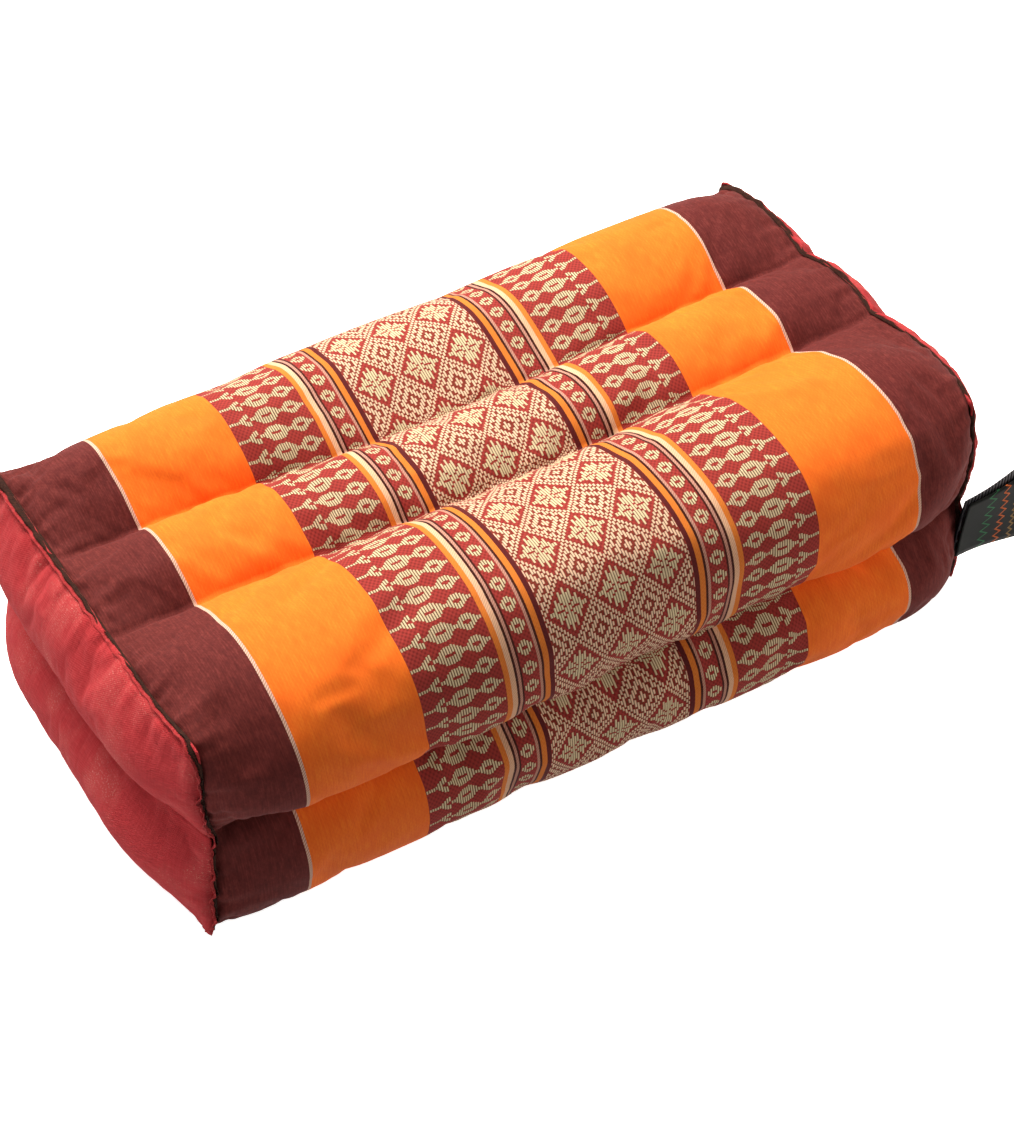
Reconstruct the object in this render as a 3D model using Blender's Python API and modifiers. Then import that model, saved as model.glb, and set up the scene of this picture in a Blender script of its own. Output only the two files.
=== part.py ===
"""Block-shaped meditation cushion: three by two stuffed tubes in one wrapped cover, with two end panels.

+X runs along the tubes, -Y is the front, and the origin lies on the floor under the middle of the cover.
"""

import math

import bmesh
import bpy
from mathutils import Vector

MM = 0.001

# Cover, from one end seam to the other
SEAM_X = {"left": -172 * MM, "right": 180 * MM}
OUTWARD = {"left": -1, "right": 1}
SEAM_BOW = {"left": 0.5 * MM, "right": 4 * MM}  # how far a seam bows out between the channels
CHANNEL_Y = 24 * MM  # the stitched channels above and below
SWELL_LENGTH = 40 * MM  # from an end seam to the full section
SWELL_POWER = 2.2

# Heights of the full section near each end, and at mid-length, where the tubes have settled
SHOULDER = {"crown": 121 * MM, "middle": 114 * MM, "channel": 105.5 * MM, "fold": 57 * MM}
SETTLED = {"crown": 115 * MM, "middle": 108 * MM, "channel": 99.5 * MM, "fold": 54 * MM}
HEIGHTS_X = 138 * MM  # where the full heights are reached

# The outer tubes, in millimetres: half width of the block near the ends and at mid-length, how much wider it is
# near the right end, and the half width, half height and roundness of the tube itself (2 is an ellipse)
TUBES = {
    "front": {
        "upper": {"ends": 108.5, "middle": 107, "taper": 0, "span": 46, "rise": 39, "roundness": 2.5},
        "lower": {"ends": 105.5, "middle": 104, "taper": 6, "span": 46, "rise": 37, "roundness": 2.2},
    },
    "back": {
        "upper": {"ends": 94.5, "middle": 103, "taper": 3, "span": 41, "rise": 39, "roundness": 2.0},
        "lower": {"ends": 97, "middle": 102, "taper": 2, "span": 43, "rise": 37, "roundness": 2.2},
    },
}
FOLD_DEPTH = 9 * MM  # the side fold lies this far inside the narrower of the two tubes
LOWER_CHANNEL = 6 * MM  # height of the stitched channels below
LOWER_DROP = 4 * MM  # the lower tubes would reach this far into the floor, and are pressed flat on it
MIDDLE_TUBE_ROUNDNESS = 2.3
UNEVENNESS = 0.8 * MM

# The end seam, a rectangle with its corners pulled tight
SEAM_HALF_WIDTH = 91 * MM
SEAM_TOP = 106.5 * MM
SEAM_BOTTOM = 7 * MM
SEAM_CORNER = 3 * MM
SEAM_FOLD_IN = 4.5 * MM  # the seam is pulled in where it meets the side fold
SEAM_DIP = 1.5 * MM  # and where it meets a stitched channel

# End panels
PANEL_CROWN = {"left": (25 * MM, 21 * MM), "right": (24 * MM, 22 * MM)}  # lower layer, upper layer
PANEL_CREASE = 13 * MM  # how far the panel still stands out along the crease between the layers
PANEL_CREASE_SHARPNESS = 0.6
PANEL_SQUARENESS = 4.5
PANEL_GAP = 0.4 * MM
PANEL_THICKNESS = 1.5 * MM
ALLOWANCE = 4.5 * MM  # the raw edge that stands out round the seam
ALLOWANCE_LEAN = 0.6  # how far it leans outward, as a share of its height
ALLOWANCE_WAVE = 0.6 * MM
CORNER_TURN = 6  # how quickly the raw edge turns from one side to the next round a corner
FLOOR_CLEARANCE = 0.4 * MM

# Label, a ribbon folded in two
LABEL_LENGTH = 36 * MM
LABEL_WIDTH = 28 * MM
LABEL_THICKNESS = 1 * MM
LABEL_FOLD_GAP = 1.6 * MM
LABEL_ROOT = Vector((177 * MM, -97.8 * MM, 27 * MM))
LABEL_BEND = 7 * MM  # sideways sweep of the ribbon's free end

# Faces of the coarse cage: across each of the three tubes, up each of the two layers
CUTS_ACROSS = 4
CUTS_UP = 3
COLUMNS = 3 * CUTS_ACROSS
ROWS = 2 * CUTS_UP
STATIONS = [0, 4, 11, 22, 38, 62, 96, 136]  # millimetres from an end seam, up to the middle of the length

END_SLOTS = {"left": 1, "right": 2}

COLOURS = {
    "cover": (0.78, 0.27, 0.02),
    "panel": (0.42, 0.03, 0.035),
    "label": (0.02, 0.02, 0.022),
}


def material(name, colour, roughness):
    made = bpy.data.materials.new(name)
    made.use_nodes = True
    shader = made.node_tree.nodes["Principled BSDF"]
    shader.inputs["Base Color"].default_value = (*colour, 1)
    shader.inputs["Roughness"].default_value = roughness
    shader.inputs["Metallic"].default_value = 0
    return made


def blend(first, second, share):
    return first + (second - first) * share


def uneven(x, phase):
    """A few tenths of a millimetre of hand-stuffed unevenness along the length."""
    return UNEVENNESS * (math.sin(x / (41 * MM) + phase) + 0.5 * math.sin(x / (19 * MM) + 2.3 * phase))


def station_x():
    """Where each section of the cage lies, from the left seam to the right one."""
    left = [SEAM_X["left"] + station * MM for station in STATIONS]
    right = [SEAM_X["right"] - station * MM for station in reversed(STATIONS)]
    return left + [blend(SEAM_X["left"], SEAM_X["right"], 0.5)] + right


def swell(x):
    """0 at an end seam, 1 from SWELL_LENGTH inward."""
    inward = min(x - SEAM_X["left"], SEAM_X["right"] - x) / SWELL_LENGTH
    return 1 - max(0, 1 - inward) ** SWELL_POWER


def settled_share(x):
    """0 near the ends, 1 at mid-length."""
    return (1 + math.cos(math.pi * max(-1, min(1, x / HEIGHTS_X)))) / 2


def signed_power(value, power):
    return math.copysign(abs(value) ** power, value)


class TubeArc:
    """The rounded section of one outer tube, as (|y|, z)."""

    def __init__(self, sizes, x, top, phase):
        width = blend(sizes["ends"], sizes["middle"], settled_share(x)) * MM
        self.width = width + sizes["taper"] * MM * x / HEIGHTS_X + uneven(x, phase)
        self.spans = (sizes["span"] * MM, sizes["rise"] * MM)
        self.centre = (self.width - self.spans[0], top - self.spans[1])
        self.roundness = sizes["roundness"]

    def angle_towards(self, point):
        ratios = [(point[axis] - self.centre[axis]) / self.spans[axis] for axis in range(2)]
        across, up = (signed_power(ratio, self.roundness / 2) for ratio in ratios)
        return math.atan2(up, across)

    def between(self, first, last, steps):
        """The points between two neighbours of the tube, evenly turned, without those two."""
        start, end = self.angle_towards(first), self.angle_towards(last)
        points = []
        for step in range(1, steps):
            angle = blend(start, end, step / steps)
            turned = (math.cos(angle), math.sin(angle))
            points.append(
                tuple(
                    self.centre[axis] + self.spans[axis] * signed_power(turned[axis], 2 / self.roundness)
                    for axis in range(2)
                )
            )
        return points


def full_section(x, side):
    """One side's section from the middle of the top round to the middle of the bottom, as (|y|, z)."""
    share = settled_share(x)
    sizes = {name: blend(SHOULDER[name], SETTLED[name], share) for name in SHOULDER}
    tubes = TUBES["front" if side < 0 else "back"]
    upper = TubeArc(tubes["upper"], x, sizes["crown"] + uneven(x, 2.9 + side), 1.7 * side)
    lower_top = 2 * tubes["lower"]["rise"] * MM - LOWER_DROP
    lower = TubeArc(tubes["lower"], x, lower_top, 0.6 * side)
    fold = (min(upper.width, lower.width) - FOLD_DEPTH, sizes["fold"] + uneven(x, side))
    half = CUTS_ACROSS // 2
    corner = CUTS_ACROSS + CUTS_UP
    points = []
    for step in range(half):
        share = step / half
        rise = (sizes["middle"] - sizes["channel"]) * (1 - share**MIDDLE_TUBE_ROUNDNESS)
        points.append((CHANNEL_Y * share, sizes["channel"] + rise))
    upper_channel, lower_channel = (CHANNEL_Y, sizes["channel"]), (CHANNEL_Y, LOWER_CHANNEL)
    points.append(upper_channel)
    points += upper.between(upper_channel, fold, corner)
    points.append(fold)
    points += lower.between(fold, lower_channel, corner)
    points.append(lower_channel)
    for step in reversed(range(half)):
        share = step / half
        height = LOWER_CHANNEL * share**MIDDLE_TUBE_ROUNDNESS - LOWER_DROP * (1 - share)
        points.append((CHANNEL_Y * share, height))
    return points


def seam_section():
    """The end seam in the same order: a rectangle, dipped at the channels and pulled in at the side fold."""
    half = CUTS_ACROSS // 2
    middle = blend(SEAM_TOP, SEAM_BOTTOM, 0.5)
    corner_y = SEAM_HALF_WIDTH - SEAM_CORNER

    def row(z, inward):
        found = [(CHANNEL_Y * step / half, z) for step in range(half)]
        found.append((CHANNEL_Y, z - inward))
        steps = CUTS_ACROSS
        found += [(blend(CHANNEL_Y, SEAM_HALF_WIDTH, step / steps), z) for step in range(1, steps)]
        return found

    top = row(SEAM_TOP, SEAM_DIP)
    bottom = row(SEAM_BOTTOM, -SEAM_DIP)
    side = [(corner_y, SEAM_TOP - SEAM_CORNER)]
    side += [(SEAM_HALF_WIDTH, blend(SEAM_TOP, middle, step / CUTS_UP)) for step in range(1, CUTS_UP)]
    side.append((SEAM_HALF_WIDTH - SEAM_FOLD_IN, middle))
    side += [(SEAM_HALF_WIDTH, blend(middle, SEAM_BOTTOM, step / CUTS_UP)) for step in range(1, CUTS_UP)]
    side.append((corner_y, SEAM_BOTTOM + SEAM_CORNER))
    return top + side + bottom[::-1]


def place_on_section(j, k):
    """Which side, and which point of that side's section, cage column j and row k stand for."""
    side = -1 if j < COLUMNS / 2 else 1
    out = abs(j - COLUMNS // 2)
    if k == ROWS:
        return side, out
    if k == 0:
        return side, COLUMNS + ROWS - out
    return side, COLUMNS // 2 + ROWS - k


def lobe(share):
    """0 at both ends of a tube, 1 in its middle."""
    return 1 - abs(2 * share - 1) ** MIDDLE_TUBE_ROUNDNESS


def seam_bow(end, y):
    """How far the end seam bows out at y: most in the middle of a tube, nothing at a channel or a corner."""
    if abs(y) < CHANNEL_Y:
        share = (y / CHANNEL_Y + 1) / 2
    else:
        share = (abs(y) - CHANNEL_Y) / (SEAM_HALF_WIDTH - CHANNEL_Y)
    return SEAM_BOW[end] * lobe(share)


def cap_point(end, j, k):
    """A point of the end face inside the seam, standing out in one lobe for each layer of tubes."""
    seam = seam_section()
    side, top = place_on_section(j, ROWS)
    bottom = place_on_section(j, 0)[1]
    beside = place_on_section(0, k)[1]
    y = side * seam[top][0] * seam[beside][0] / SEAM_HALF_WIDTH
    z = blend(seam[bottom][1], seam[top][1], k / ROWS)
    layer, step = divmod(k, CUTS_UP)
    depth = PANEL_CROWN[end][layer] * lobe(step / CUTS_UP) if step else PANEL_CREASE
    share = 1 - (abs(y) / SEAM_HALF_WIDTH) ** PANEL_SQUARENESS
    return Vector((SEAM_X[end] + OUTWARD[end] * (seam_bow(end, y) + depth * share), y, z))


def cage_point(i, j, k):
    """Where the cage's grid point (i, j, k) goes."""
    stations = station_x()
    end = "left" if i < len(stations) / 2 else "right"
    if i in (0, len(stations) - 1) and 0 < j < COLUMNS and 0 < k < ROWS:
        return cap_point(end, j, k)
    x = stations[i]
    side, index = place_on_section(j, k)
    seam, full = seam_section()[index], full_section(x, side)[index]
    share = swell(x)
    bow = seam_bow(end, seam[0]) - (SEAM_FOLD_IN if k == CUTS_UP else 0)
    return Vector(
        (
            x + OUTWARD[end] * bow * (1 - share),
            side * blend(seam[0], full[0], share),
            blend(seam[1], full[1], share),
        )
    )


def grid_box(counts):
    """A box of whole-number size with a loop cut at each whole number, its lowest corner at the origin."""
    bm = bmesh.new()
    bmesh.ops.create_cube(bm, size=1)
    for vert in bm.verts:
        vert.co = Vector((vert.co[axis] + 0.5) * counts[axis] for axis in range(3))
    for axis, count in enumerate(counts):
        normal = Vector(1.0 if other == axis else 0.0 for other in range(3))
        for cut in range(1, count):
            parts = bm.verts[:] + bm.edges[:] + bm.faces[:]
            bmesh.ops.bisect_plane(bm, geom=parts, plane_co=normal * cut, plane_no=normal)
    return bm


def crease_of(first, second, last):
    """How sharp the cage's edge between two grid points stays: the seams, channels and folds are creased."""
    if first[0] != second[0]:
        channel = first[1] in (CUTS_ACROSS, 2 * CUTS_ACROSS) and first[2] in (0, ROWS)
        side_fold = first[1] in (0, COLUMNS) and first[2] == CUTS_UP
        return 1.0 if channel or side_fold else 0.0
    if first[0] not in (0, last):
        return 0.0
    if first[1] == second[1] in (0, COLUMNS) or first[2] == second[2] in (0, ROWS):
        return 1.0
    return PANEL_CREASE_SHARPNESS if first[2] == second[2] == CUTS_UP else 0.0


def cushion_cage():
    """The whole block's cage, with its two end faces in the material slots that END_SLOTS gives."""
    last = len(station_x()) - 1
    bm = grid_box((last, COLUMNS, ROWS))
    grid = {vert: tuple(round(value) for value in vert.co) for vert in bm.verts}
    crease = bm.edges.layers.float.new("crease_edge")
    for edge in bm.edges:
        edge[crease] = crease_of(grid[edge.verts[0]], grid[edge.verts[1]], last)
    for face in bm.faces:
        stations = {grid[vert][0] for vert in face.verts}
        if stations == {0}:
            face.material_index = END_SLOTS["left"]
        elif stations == {last}:
            face.material_index = END_SLOTS["right"]
    for vert, place in grid.items():
        vert.co = cage_point(*place)
    return bm


def settled_body(collection):
    """The cage smoothed by Subdivision Surface, then pressed flat where it lies on the floor."""
    mesh = bpy.data.meshes.new("cushion_cage")
    bm = cushion_cage()
    bm.to_mesh(mesh)
    bm.free()
    for slot in range(3):
        mesh.materials.append(None)
    cage = bpy.data.objects.new("cushion_cage", mesh)
    collection.objects.link(cage)
    smooth = cage.modifiers.new("smooth", "SUBSURF")
    smooth.levels = smooth.render_levels = 1
    graph = bpy.context.evaluated_depsgraph_get()
    settled = bpy.data.meshes.new_from_object(cage.evaluated_get(graph))
    bpy.data.objects.remove(cage)
    for vert in settled.vertices:
        vert.co.z = max(0.0, vert.co.z)
    return settled


def add_object(name, mesh, collection, look):
    mesh.name = name
    mesh.materials.clear()
    mesh.materials.append(look)
    for polygon in mesh.polygons:
        polygon.material_index = 0
    mesh.shade_smooth()
    mesh.set_sharp_from_angle(angle=math.radians(50))
    made = bpy.data.objects.new(name, mesh)
    collection.objects.link(made)
    return made


def away_from_seam(point):
    """Which way the raw edge stands out across the block: square to each side, slanting at a corner."""
    middle, half_height = (SEAM_TOP + SEAM_BOTTOM) / 2, (SEAM_TOP - SEAM_BOTTOM) / 2
    across = signed_power(point.y / SEAM_HALF_WIDTH, CORNER_TURN)
    up = signed_power((point.z - middle) / half_height, CORNER_TURN)
    return Vector((0, across, up)).normalized()


def end_panel(end, body, collection, look):
    """The body's own end face, set off by a small gap, with its raw edge turned out and a cloth's thickness."""
    name = "end_panel_" + end
    bm = bmesh.new()
    bm.from_mesh(body)
    others = [face for face in bm.faces if face.material_index != END_SLOTS[end]]
    bmesh.ops.delete(bm, geom=others, context="FACES")
    bm.normal_update()
    for vert in bm.verts:
        vert.co += vert.normal * PANEL_GAP
    turned = bmesh.ops.extrude_edge_only(bm, edges=[edge for edge in bm.edges if edge.is_boundary])
    for vert in [made for made in turned["geom"] if isinstance(made, bmesh.types.BMVert)]:
        wave = ALLOWANCE_WAVE * math.sin(vert.co.y / (4 * MM) + vert.co.z / (3 * MM))
        vert.co += (ALLOWANCE + wave) * away_from_seam(vert.co)
        vert.co.x += OUTWARD[end] * (ALLOWANCE * ALLOWANCE_LEAN + wave)
        vert.co.z = max(FLOOR_CLEARANCE, vert.co.z)
    mesh = bpy.data.meshes.new(name)
    bm.to_mesh(mesh)
    bm.free()
    made = add_object(name, mesh, collection, look)
    cloth = made.modifiers.new("cloth", "SOLIDIFY")
    cloth.thickness = PANEL_THICKNESS
    cloth.offset = 1
    return made


def label_tag(collection, look):
    """A ribbon that leaves the front right seam, folds back on itself and returns to it."""
    turn = LABEL_FOLD_GAP / 2 + LABEL_THICKNESS / 2
    steps, fold_steps = 7, 6
    run = [(LABEL_LENGTH * step / steps, -turn) for step in range(steps + 1)]
    for step in range(1, fold_steps):
        angle = math.pi * (step / fold_steps - 0.5)
        run.append((LABEL_LENGTH + turn * math.cos(angle), turn * math.sin(angle)))
    run += [(along, turn) for along, _ in reversed(run[: steps + 1])]
    bm = bmesh.new()
    rows = []
    for z in (0, LABEL_WIDTH):
        row = []
        for along, across in run:
            share = along / LABEL_LENGTH
            sweep = -LABEL_BEND * share**2
            lift = 1.5 * MM * share * (1 if z else -0.5)
            row.append(bm.verts.new(LABEL_ROOT + Vector((along, across + sweep, z + lift))))
        rows.append(row)
    for index in range(len(run) - 1):
        bm.faces.new((rows[0][index], rows[0][index + 1], rows[1][index + 1], rows[1][index]))
    mesh = bpy.data.meshes.new("label_tag")
    bm.to_mesh(mesh)
    bm.free()
    made = add_object("label_tag", mesh, collection, look)
    ribbon = made.modifiers.new("ribbon", "SOLIDIFY")
    ribbon.thickness = LABEL_THICKNESS
    ribbon.offset = 0
    return made


def main():
    for existing in list(bpy.data.objects):
        bpy.data.objects.remove(existing)
    collection = bpy.data.collections.new("block_cushion")
    bpy.context.scene.collection.children.link(collection)
    red_cloth = material("red_cloth", COLOURS["panel"], 0.85)
    body = settled_body(collection)
    for end in END_SLOTS:
        end_panel(end, body, collection, red_cloth)
    add_object("cushion_body", body, collection, material("striped_cloth", COLOURS["cover"], 0.8))
    label_tag(collection, material("label_ribbon", COLOURS["label"], 0.45))


main()
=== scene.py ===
import math
import time
from collections import Counter
from functools import partial
import bpy
import numpy as np
from mathutils import Matrix, Vector


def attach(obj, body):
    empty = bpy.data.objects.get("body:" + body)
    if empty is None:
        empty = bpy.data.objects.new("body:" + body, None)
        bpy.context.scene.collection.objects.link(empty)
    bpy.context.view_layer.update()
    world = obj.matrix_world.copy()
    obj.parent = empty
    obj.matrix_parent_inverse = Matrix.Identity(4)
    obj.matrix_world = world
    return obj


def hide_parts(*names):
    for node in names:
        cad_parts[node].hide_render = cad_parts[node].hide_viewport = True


began = time.time()
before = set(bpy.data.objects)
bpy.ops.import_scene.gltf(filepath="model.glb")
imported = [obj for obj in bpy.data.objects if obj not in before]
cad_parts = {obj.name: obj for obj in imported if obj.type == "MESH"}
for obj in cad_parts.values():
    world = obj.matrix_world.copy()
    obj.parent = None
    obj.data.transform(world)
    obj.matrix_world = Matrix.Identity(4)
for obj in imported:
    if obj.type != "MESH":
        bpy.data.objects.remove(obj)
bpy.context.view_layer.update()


def report(stage):
    print(stage, round(time.time() - began, 1), "s")


report("frame loaded")
mm = 0.001  # every size below is in millimetres

# The block much as its solids have it, its stitching a little more settled
block = {
    "seamX": {"left": -172.5, "right": 178},
    "seamBow": {"left": 0.5, "right": 3.5},
    "channelY": 24,
    "swellLength": 40,
    "swellPower": 2.2,
    "shoulder": {"crown": 121, "middle": 114, "channel": 105.5, "fold": 57},
    "settled": {"crown": 115, "middle": 108, "channel": 99.5, "fold": 54},
    "heightsX": 138,
    "foldDepth": 9,
    "lowerChannel": 6,
    "lowerDrop": 4,
    "middleRoundness": 2.3,
    "unevenness": 0.8,
    "unevenLengths": (41, 19),
    "stations": [0, 4, 11, 22, 38, 62, 96, 136],
    "across": 4,
    "up": 3,
    "seamHalfWidth": 91,
    "seamTop": 106.5,
    "seamBottom": 3.5,
    "seamCorner": 2,
    "seamFoldIn": 4.5,
    "seamFoldBack": {"left": 4.5, "right": 0.5},
    "seamDip": 1.5,
    "backDrop": 1.2,
    "channelShift": 4,  # the top's channels lie a little behind the middle
    "shiftHeights": (70, 100),
    "shiftReach": 60,
    "foldShift": (2.5, -3, -5.5),  # the folds drop from the left end to the right one
    "foldLevel": 56,
    "foldReach": 22,
    "corners": [  # where a seam's corner would lie, how far the thread draws it and over what reach
        ((-172.5, -87, 102.5), (1.5, -3, 4.5), 16),
        ((-172.5, -87, 6), (-2.5, -1, 0.5), 22),
        ((181, -87, 102.5), (-5, -2.5, 4.5), 16),
    ],
}
outward = {"left": -1, "right": 1}
leftX, rightX = block["seamX"].values()
seamMiddle = (block["seamTop"] + block["seamBottom"]) / 2

# Half width near the ends and at mid-length, widening to the right, then the tube's own half width, half
# height and roundness
tubes = {
    "front": {"upper": (108.5, 107, 0, 46, 39, 2.5), "lower": (105.5, 104, 4.6, 46, 37, 2.8)},
    "back": {"upper": (96.5, 103, 3, 41, 39, 1.85), "lower": (97, 102, 2, 43, 37, 2.2)},
}


def mix(first, second, share):
    return first + (second - first) * share


def unit(vectors):
    return vectors / np.maximum(np.linalg.norm(vectors, axis=-1, keepdims=True), 1e-9)


# Distances along a line of points
def distancesAlong(line):
    return np.concatenate([[0], np.cumsum(np.linalg.norm(np.diff(line, axis=0), axis=1))])


def pointsAt(line, along, targets):
    return np.stack([np.interp(targets, along, line[:, axis]) for axis in range(3)], -1)


# The faces of rows of points, each row a ring unless open
def gridFaces(rows, columns, closed=True):
    return [
        (i * columns + j, i * columns + k, (i + 1) * columns + k, (i + 1) * columns + j)
        for i in range(rows - 1)
        for j, k in ((j, (j + 1) % columns) for j in range(columns if closed else columns - 1))
    ]


# The flat measures of such faces, from those of the columns and the rows
def gridMap(columns, rows):
    return [
        spot for low, high in zip(rows, rows[1:]) for first, last in zip(columns, columns[1:])
        for spot in ((first, low), (last, low), (last, high), (first, high))
    ]


# Keeps points from sinking below a height
def grounded(points, lowest=0):
    points[..., 2] = np.maximum(lowest, points[..., 2])
    return points


def signedPower(value, power):
    return math.copysign(abs(value) ** power, value)


def uneven(x, phase):
    long, short = block["unevenLengths"]
    return block["unevenness"] * (math.sin(x / long + phase) + 0.5 * math.sin(x / short + 2.3 * phase))


def swell(x):
    inward = min(x - leftX, rightX - x) / block["swellLength"]
    return 1 - max(0, 1 - inward) ** block["swellPower"]


def settledShare(x):
    return (1 + math.cos(math.pi * max(-1, min(1, x / block["heightsX"])))) / 2


def tubeArc(sizes, x, top, phase):
    ends, middle, taper, halfWidth, halfHeight, roundness = sizes
    width = mix(ends, middle, settledShare(x)) + taper * x / block["heightsX"] + uneven(x, phase)
    centre = (width - halfWidth, top - halfHeight)
    return {"width": width, "spans": (halfWidth, halfHeight), "centre": centre, "roundness": roundness}


def arcBetween(arc, first, last, steps):
    angles = []
    for point in (first, last):
        ratios = [(point[axis] - arc["centre"][axis]) / arc["spans"][axis] for axis in range(2)]
        across, up = (signedPower(ratio, arc["roundness"] / 2) for ratio in ratios)
        angles.append(math.atan2(up, across))
    found = []
    for step in range(1, steps):
        angle = mix(angles[0], angles[1], step / steps)
        turned = (math.cos(angle), math.sin(angle))
        place = [signedPower(turned[axis], 2 / arc["roundness"]) * arc["spans"][axis] for axis in range(2)]
        found.append((arc["centre"][0] + place[0], arc["centre"][1] + place[1]))
    return found


# One side's full section, from the middle of the top to the middle of the bottom, as (|y|, z)
def fullSection(x, side):
    share = settledShare(x)
    sizes = {name: mix(block["shoulder"][name], block["settled"][name], share) for name in block["shoulder"]}
    pair = tubes["front" if side < 0 else "back"]
    crown = sizes["crown"] - (block["backDrop"] if side > 0 else 0)
    upper = tubeArc(pair["upper"], x, crown + uneven(x, 2.9 + side), 1.7 * side)
    lower = tubeArc(pair["lower"], x, 2 * pair["lower"][4] - block["lowerDrop"], 0.6 * side)
    foldY = min(upper["width"], lower["width"]) - block["foldDepth"]
    fold = (foldY, sizes["fold"] + uneven(x, side))
    half = block["across"] // 2
    corner = block["across"] + block["up"]
    channelY = block["channelY"]
    power = block["middleRoundness"]
    rise = sizes["middle"] - sizes["channel"]
    points = [(channelY * s / half, sizes["channel"] + rise * (1 - (s / half) ** power)) for s in range(half)]
    upperChannel = (channelY, sizes["channel"])
    lowerChannel = (channelY, block["lowerChannel"])
    points += [upperChannel] + arcBetween(upper, upperChannel, fold, corner)
    points += [fold] + arcBetween(lower, fold, lowerChannel, corner) + [lowerChannel]
    for share in (s / half for s in reversed(range(half))):
        z = block["lowerChannel"] * share**power - block["lowerDrop"] * (1 - share)
        points.append((channelY * share, z))
    return points


# The end seam in the same order
def seamSection():
    half = block["across"] // 2
    top, bottom, channelY = block["seamTop"], block["seamBottom"], block["channelY"]
    halfWidth, corner, cutsUp = block["seamHalfWidth"], block["seamCorner"], block["up"]

    def row(z, inward):
        found = [(channelY * s / half, z) for s in range(half)] + [(channelY, z - inward)]
        return found + [(mix(channelY, halfWidth, s / block["across"]), z) for s in range(1, block["across"])]

    side = [(halfWidth - corner, top - corner)]
    side += [(halfWidth, mix(top, seamMiddle, s / cutsUp)) for s in range(1, cutsUp)]
    side.append((halfWidth - block["seamFoldIn"], seamMiddle))
    side += [(halfWidth, mix(seamMiddle, bottom, s / cutsUp)) for s in range(1, cutsUp)]
    side.append((halfWidth - corner, bottom + corner))
    return row(top, block["seamDip"]) + side + row(bottom, -block["seamDip"])[::-1]


def lobe(share):
    return 1 - abs(2 * share - 1) ** block["middleRoundness"]


def seamBow(end, y):
    channelY = block["channelY"]
    if abs(y) < channelY:
        share = (y / channelY + 1) / 2
    else:
        share = (abs(y) - channelY) / (block["seamHalfWidth"] - channelY)
    return block["seamBow"][end] * lobe(share)


halfRing = block["across"] + block["up"] * 2 + 8  # the last of one side's section points, under the middle
foldAt = halfRing // 2
channelAt = block["across"] // 2


# The wrapped cover's cage: one row of points round the block for each station along it
def coverCage():
    xs = [leftX + s for s in block["stations"]] + [mix(leftX, rightX, 0.5)]
    xs += [rightX - s for s in reversed(block["stations"])]
    seam = seamSection()
    rows = []
    for index, x in enumerate(xs):
        end = "left" if index < len(xs) / 2 else "right"
        share = swell(x)
        full = {side: fullSection(x, side) for side in (-1, 1)}
        row = []
        for j in range(2 * halfRing):
            side = -1 if j <= halfRing else 1
            k = j if side < 0 else 2 * halfRing - j
            bow = seamBow(end, seam[k][0]) - (block["seamFoldBack"][end] if k == foldAt else 0)
            row.append((
                x + outward[end] * bow * (1 - share),
                side * mix(seam[k][0], full[side][k][0], share),
                mix(seam[k][1], full[side][k][1], share),
            ))
        rows.append(row)
    return np.array(rows)


def channelShiftAt(y, z):
    rise = np.interp(z, block["shiftHeights"], (0, 1))
    return block["channelShift"] * rise * np.exp(-(y / block["shiftReach"]) ** 2)


def foldShiftAt(x, z):
    away = (z - block["foldLevel"]) / block["foldReach"]
    return np.interp(x, (leftX, 0, rightX), block["foldShift"]) * np.exp(-away ** 2)


# Moves the channels back and the folds up or down, for any array of points
def leaned(points):
    x, y, z = np.moveaxis(np.array(points, float), -1, 0)
    return np.stack([x, y + channelShiftAt(y, z), z + foldShiftAt(x, z)], -1)


def cornered(points):
    found = np.array(points, float)
    for place, move, reach in block["corners"]:
        away = np.linalg.norm(np.asarray(points) - place, axis=-1, keepdims=True)
        found += np.exp(-(away / reach) ** 2) * move
    return found


# One round of cubic subdivision along the first axis. Sharp rows, and the ends of an open one, stay put
def refined(points, sharp=(), closed=False):
    before, after = np.roll(points, 1, 0), np.roll(points, -1, 0)
    kept = (before + 6 * points + after) / 8
    held = list(sharp) + ([] if closed else [0, len(points) - 1])
    kept[held] = points[held]
    halfway = (points + after) / 2
    woven = np.stack([kept, halfway], 1).reshape(-1, *points.shape[1:])
    return woven if closed else woven[:-1]


def refinedRing(points, sharp):
    return refined(points.swapaxes(0, 1), sharp, closed=True).swapaxes(0, 1)


# Even steps along each line of points, in the same number of steps for all
def resampled(lines, steps):
    found = []
    for line in lines:
        along = distancesAlong(line)
        found.append(pointsAt(line, along, np.linspace(0, along[-1], steps + 1)))
    return np.array(found)


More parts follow.
